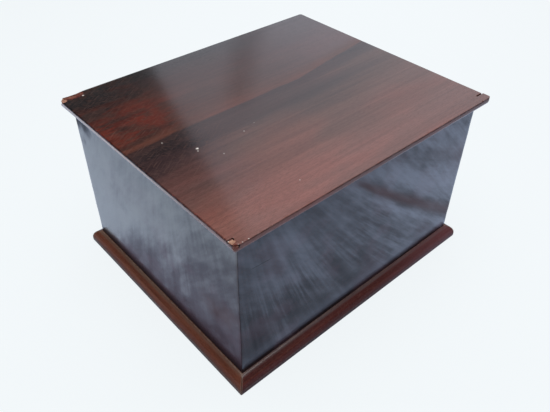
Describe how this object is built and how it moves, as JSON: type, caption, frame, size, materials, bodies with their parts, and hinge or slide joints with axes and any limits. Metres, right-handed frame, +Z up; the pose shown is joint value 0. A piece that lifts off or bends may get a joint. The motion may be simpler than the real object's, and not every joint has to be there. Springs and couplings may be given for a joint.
{
  "type": "lidded cover box",
  "caption": "Low rectangular wooden box with an overhanging hinged lid and a base moulding, made to store and cover a hand sewing machine.",
  "frame": {"origin": "middle of the underside, in the plane of the table", "axes": "+X along the length to the right end, +Y to the back where the hinges are, +Z up"},
  "size_m": [0.468, 0.394, 0.268],
  "materials": {
    "case_mahogany": "french polished, nearly black mahogany",
    "lid_mahogany": "french polished mahogany, rubbed",
    "moulding_mahogany": "worn french polish",
    "inner_pine": "unfinished, aged",
    "hinge_brass": "aged",
    "screw_steel": "dull"
  },
  "bodies": {
    "case": {"back_board": "case_mahogany", "back_left_block": "inner_pine", "back_right_block": "inner_pine", "base_moulding_back": "moulding_mahogany", "base_moulding_front": "moulding_mahogany", "base_moulding_left": "moulding_mahogany", "base_moulding_right": "moulding_mahogany", "bottom_board": "inner_pine", "front_board": "case_mahogany", "front_left_block": "inner_pine", "front_right_block": "inner_pine", "hinge_case_screws": "screw_steel", "left_end": "case_mahogany", "left_hinge_case_leaf": "hinge_brass", "left_hinge_pin": "hinge_brass", "right_end": "case_mahogany", "right_hinge_case_leaf": "hinge_brass", "right_hinge_pin": "hinge_brass"},
    "lid": {"hinge_lid_screws": "screw_steel", "left_hinge_lid_leaf": "hinge_brass", "lid_back_lipping": "lid_mahogany", "lid_front_lipping": "lid_mahogany", "lid_left_batten": "inner_pine", "lid_panel": "lid_mahogany", "lid_right_batten": "inner_pine", "right_hinge_lid_leaf": "hinge_brass"}
  },
  "joints": [
    {"name": "lid_hinge", "type": "hinge", "parent": "case", "child": "lid", "pos_m": [0, 0.1862, 0.258], "axis": [-1, 0, 0], "range_deg": [0, 115]}
  ]
}
